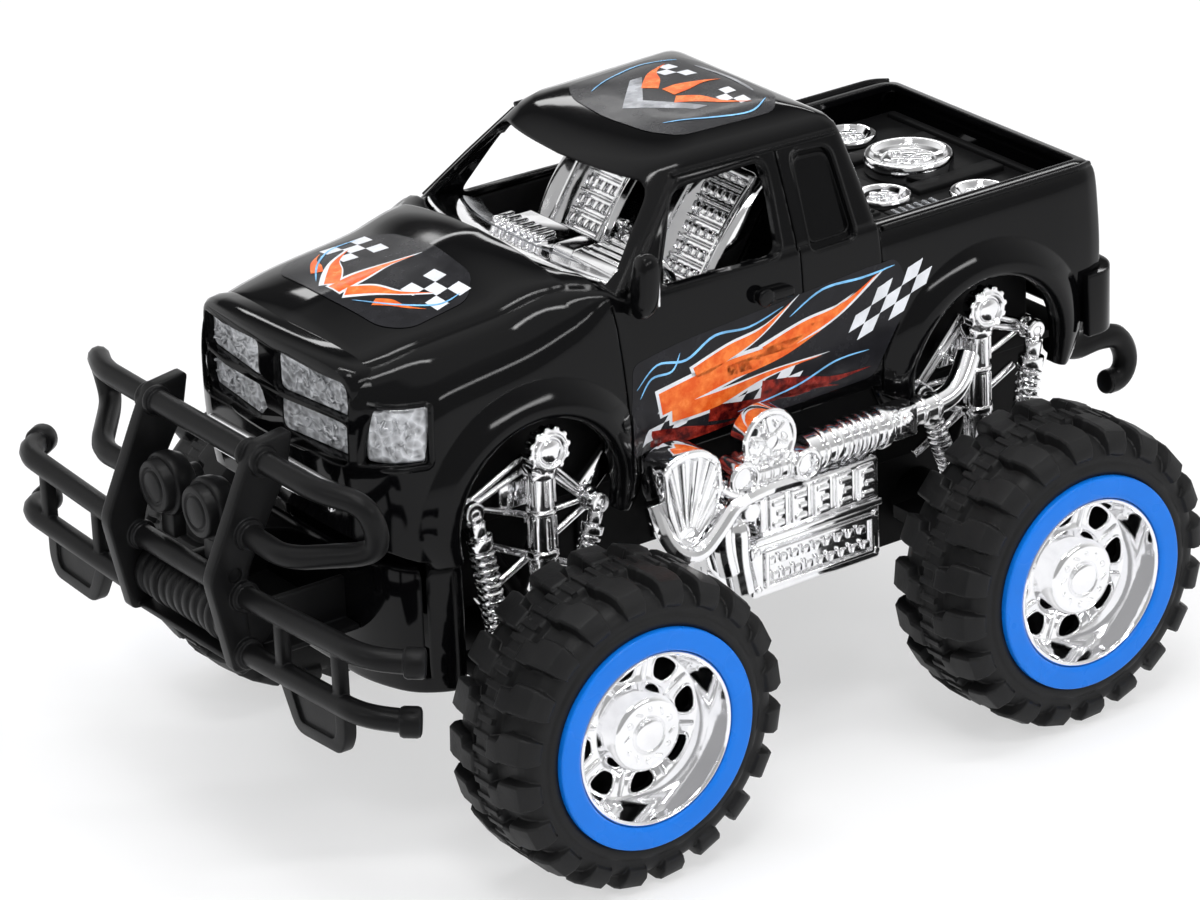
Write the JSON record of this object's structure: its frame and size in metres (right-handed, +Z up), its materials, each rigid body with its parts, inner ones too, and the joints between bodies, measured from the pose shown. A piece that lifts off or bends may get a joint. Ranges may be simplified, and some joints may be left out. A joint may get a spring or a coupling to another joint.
{
  "type": "toy monster truck",
  "caption": "Toy monster truck with a black pickup body, chrome side trim, tubular front guard and big treaded wheels with blue rings that roll freely.",
  "frame": {"origin": "middle of the overall length and width, on the floor under the tyres", "axes": "+X forward, +Y to the truck's left, +Z up"},
  "size_m": [0.3218, 0.202, 0.184],
  "materials": {
    "body_gloss_black": "glossy moulded black plastic",
    "satin_black": "satin moulded black plastic",
    "bed_black": "satin moulded black plastic",
    "tyre_rubber": "matte soft tyre compound",
    "wheel_chrome": "vacuum-plated plastic",
    "trim_chrome": "vacuum-plated plastic",
    "cabin_chrome": "vacuum-plated plastic",
    "bed_chrome": "vacuum-plated plastic",
    "ring_blue": "glossy blue plastic",
    "axle_steel": "bare steel rod",
    "lens_silver": "crinkled silver lens"
  },
  "bodies": {
    "truck": {"body_shell": "body_gloss_black", "grille_insert": "lens_silver", "headlights": "lens_silver", "cabin_interior": "cabin_chrome", "seats": "cabin_chrome", "mirror_left": "body_gloss_black", "bed_panel": "bed_black", "bed_speakers": "bed_chrome", "rear_bumper": "body_gloss_black", "tow_hooks": "satin_black", "chassis": "satin_black", "floor_pan": "satin_black", "front_apron": "body_gloss_black", "front_axle_housing": "satin_black", "rear_gearbox": "satin_black", "side_engine_left": "trim_chrome", "side_engine_right": "trim_chrome", "shock_tower_fl": "trim_chrome", "shock_tower_fr": "trim_chrome", "shock_tower_rl": "trim_chrome", "shock_tower_rr": "trim_chrome", "coil_shocks_fl": "trim_chrome", "coil_shocks_fr": "trim_chrome", "coil_shocks_rl": "trim_chrome", "coil_shocks_rr": "trim_chrome", "bull_bar": "satin_black", "spot_lamps": "satin_black", "winch": "satin_black"},
    "front_wheels": {"front_axle": "axle_steel", "tyre_fl": "tyre_rubber", "tyre_fr": "tyre_rubber", "rim_fl": "wheel_chrome", "rim_fr": "wheel_chrome", "ring_fl": "ring_blue", "ring_fr": "ring_blue"},
    "rear_wheels": {"rear_axle": "axle_steel", "tyre_rl": "tyre_rubber", "tyre_rr": "tyre_rubber", "rim_rl": "wheel_chrome", "rim_rr": "wheel_chrome", "ring_rl": "ring_blue", "ring_rr": "ring_blue"}
  },
  "joints": [
    {"name": "front_wheels_roll", "type": "hinge", "parent": "truck", "child": "front_wheels", "pos_m": [0.06705, 0, 0.046], "axis": [0, 1, 0], "continuous": true},
    {"name": "rear_wheels_roll", "type": "hinge", "parent": "truck", "child": "rear_wheels", "pos_m": [-0.08635, 0, 0.046], "axis": [0, 1, 0], "continuous": true}
  ]
}
